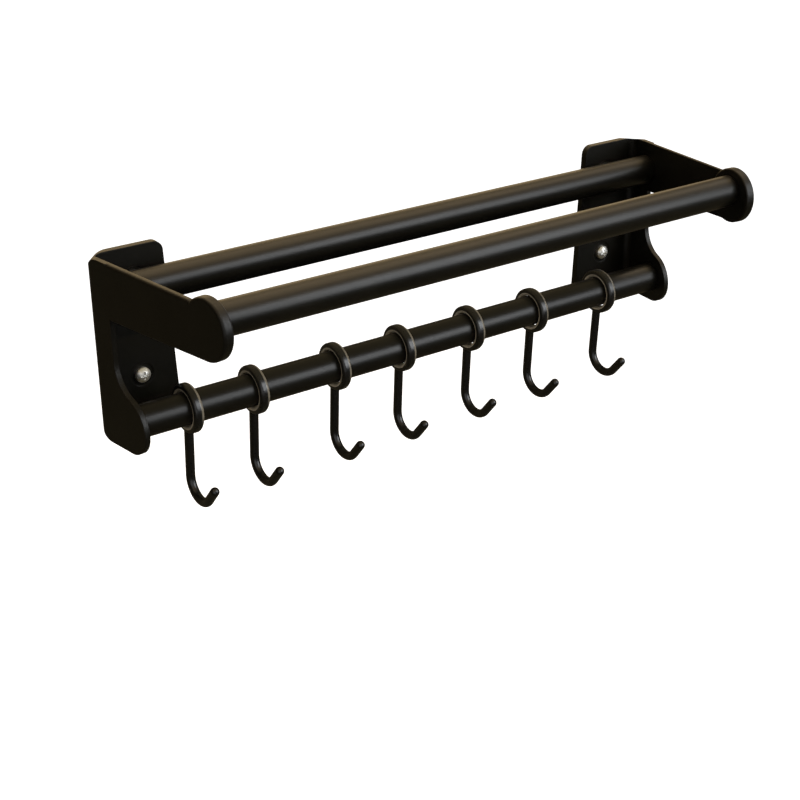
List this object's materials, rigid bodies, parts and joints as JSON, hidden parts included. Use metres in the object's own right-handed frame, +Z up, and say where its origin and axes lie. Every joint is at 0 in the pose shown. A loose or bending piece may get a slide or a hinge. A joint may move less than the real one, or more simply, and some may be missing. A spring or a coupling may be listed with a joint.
{
  "type": "wall drying rack",
  "caption": "Wall drying rack: toed-in folded side brackets carry two round upper rails and a lower rail with sliding J-hooks; wall screws pass through the back plates.",
  "frame": {"origin": "on the wall plane, in the middle of the four wall screws", "axes": "X along the rack, to the right as seen from the front; +Y into the wall; +Z up"},
  "size_m": [0.4076, 0.1413, 0.1545],
  "materials": {
    "black_bracket": "black satin coat",
    "black_tube": "black satin coat",
    "black_hook": "black semi-gloss coat",
    "bright_screw": "bright zinc plate"
  },
  "bodies": {
    "rack": {"left_bracket": "black_bracket", "right_bracket": "black_bracket", "rear_tube": "black_tube", "front_tube": "black_tube", "lower_tube": "black_tube", "upper_left_screw": "bright_screw", "lower_left_screw": "bright_screw", "upper_right_screw": "bright_screw", "lower_right_screw": "bright_screw"},
    "hook_1_body": {"hook_1": "black_hook"},
    "hook_2_body": {"hook_2": "black_hook"},
    "hook_3_body": {"hook_3": "black_hook"},
    "hook_4_body": {"hook_4": "black_hook"},
    "hook_5_body": {"hook_5": "black_hook"},
    "hook_6_body": {"hook_6": "black_hook"},
    "hook_7_body": {"hook_7": "black_hook"}
  },
  "joints": [
    {"name": "hook_1_slide", "type": "slide", "parent": "rack", "child": "hook_1_body", "axis": [1, 0, 0], "range_m": [-0.029, 0.0182]},
    {"name": "hook_2_slide", "type": "slide", "parent": "rack", "child": "hook_2_body", "axis": [1, 0, 0], "range_m": [-0.0182, 0.025]},
    {"name": "hook_3_slide", "type": "slide", "parent": "rack", "child": "hook_3_body", "axis": [1, 0, 0], "range_m": [-0.025, 0.0205]},
    {"name": "hook_4_slide", "type": "slide", "parent": "rack", "child": "hook_4_body", "axis": [1, 0, 0], "range_m": [-0.0205, 0.0236]},
    {"name": "hook_5_slide", "type": "slide", "parent": "rack", "child": "hook_5_body", "axis": [1, 0, 0], "range_m": [-0.0236, 0.0229]},
    {"name": "hook_6_slide", "type": "slide", "parent": "rack", "child": "hook_6_body", "axis": [1, 0, 0], "range_m": [-0.0229, 0.0261]},
    {"name": "hook_7_slide", "type": "slide", "parent": "rack", "child": "hook_7_body", "axis": [1, 0, 0], "range_m": [-0.0261, 0.0422]}
  ]
}
